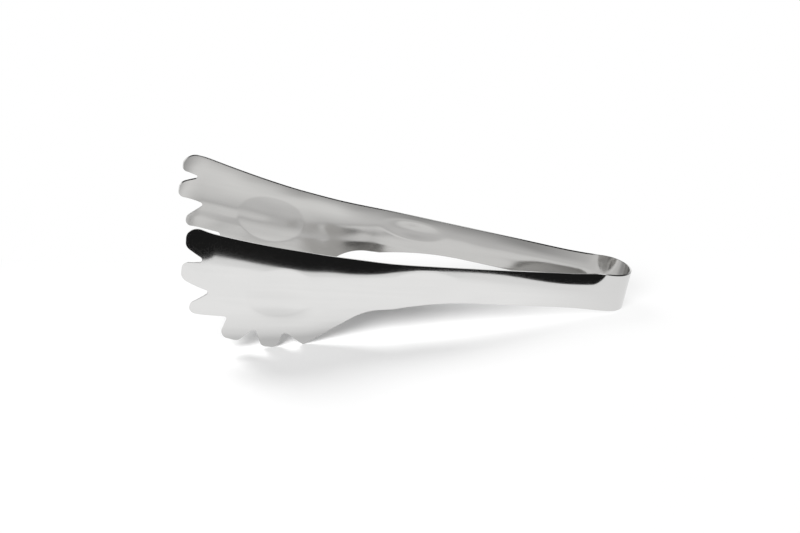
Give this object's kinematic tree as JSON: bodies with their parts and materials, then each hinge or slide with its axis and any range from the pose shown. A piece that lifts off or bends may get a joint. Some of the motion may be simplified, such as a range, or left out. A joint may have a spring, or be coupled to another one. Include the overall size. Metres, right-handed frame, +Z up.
{
  "type": "serving tongs",
  "caption": "Sprung serving tongs bent from one polished steel strip, with dished handles and toothed scoop heads that squeeze together.",
  "frame": {"origin": "on the table, under the middle of the tongs' overall length and width, as they lie on edge", "axes": "+X along the tongs from the heads towards the bow, +Y across from the front arm to the back arm, +Z up from the table"},
  "size_m": [0.2228, 0.1018, 0.0645],
  "materials": {
    "polished_steel": "bright polished stainless steel with faint polishing lines, the same all over the one strip"
  },
  "bodies": {
    "bow": {"spring_bow": "polished_steel"},
    "front_arm": {"front_handle": "polished_steel", "front_head": "polished_steel"},
    "back_arm": {"back_handle": "polished_steel", "back_head": "polished_steel"}
  },
  "joints": [
    {"name": "front_arm_squeeze", "type": "hinge", "parent": "bow", "child": "front_arm", "pos_m": [0.09791, 0, 0.01165], "axis": [-0.1656, 0, -0.9862], "range_deg": [0, 11.4], "stiffness_Nm_per_rad": 5},
    {"name": "back_arm_squeeze", "type": "hinge", "parent": "bow", "child": "back_arm", "pos_m": [0.09791, 0, 0.01165], "axis": [0.1656, 0, 0.9862], "range_deg": [0, 11.4], "stiffness_Nm_per_rad": 5}
  ],
  "couplings": [
    {"joint": "back_arm_squeeze", "follows": "front_arm_squeeze", "ratio": 1}
  ]
}
